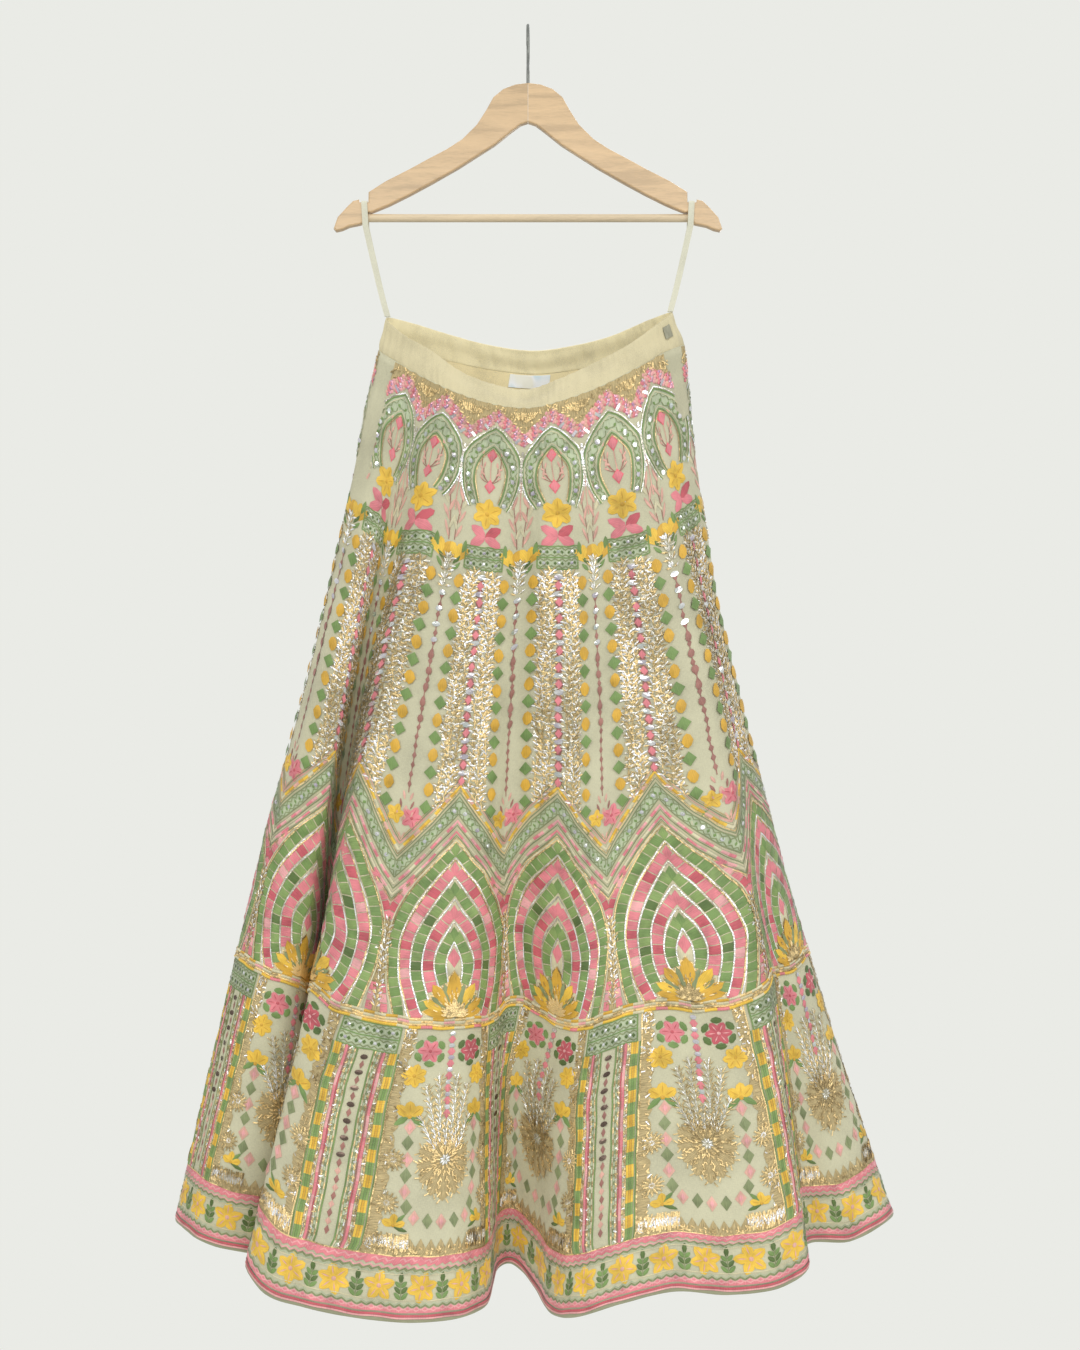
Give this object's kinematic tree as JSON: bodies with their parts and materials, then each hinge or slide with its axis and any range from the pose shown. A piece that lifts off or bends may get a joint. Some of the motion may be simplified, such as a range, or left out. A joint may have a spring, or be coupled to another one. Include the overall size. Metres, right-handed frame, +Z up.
{
  "type": "lehenga skirt on a coat hanger",
  "caption": "Floor-length flared skirt with a waistband and a tiered, bordered hem, hanging by two tape loops from the notches of a wooden coat hanger.",
  "frame": {"origin": "inner top of the hanger's hook, where it rests on a rail", "axes": "+Z up, +X to the viewer's right as the front of the skirt is seen, -Y towards the viewer in front"},
  "size_m": [0.8001, 0.3454, 1.3918],
  "materials": {
    "embroidered_cloth": "sage-cream cotton silk under dense thread, metallic and mirror embroidery",
    "band_cloth": "plain matte cream twill, stiffened",
    "couched_cord": "yellow and cream cords couched side by side",
    "rolled_edge": "grey-green bound edge",
    "lining_cloth": "smooth pale cotton lining",
    "label_cloth": "blank woven tape with a slight sheen",
    "tape": "narrow cream grosgrain tape",
    "hanger_wood": "clear satin lacquer on pale hardwood",
    "bar_wood": "turned dowel, satin",
    "plated_metal": "bright plating"
  },
  "bodies": {
    "root": {"waistband_front": "band_cloth", "waistband_back": "band_cloth", "upper_front": "embroidered_cloth", "upper_back": "embroidered_cloth", "tier_front": "embroidered_cloth", "tier_back": "embroidered_cloth", "tier_trim_front": "couched_cord", "tier_trim_back": "couched_cord", "hem_binding_front": "rolled_edge", "hem_binding_back": "rolled_edge", "back_lining": "lining_cloth", "label_blank": "label_cloth", "waist_hook": "plated_metal", "loop_left": "tape", "loop_right": "tape", "hanger_arm_left": "hanger_wood", "hanger_arm_right": "hanger_wood", "hanger_bar": "bar_wood", "hanger_hook": "plated_metal"}
  },
  "joints": []
}
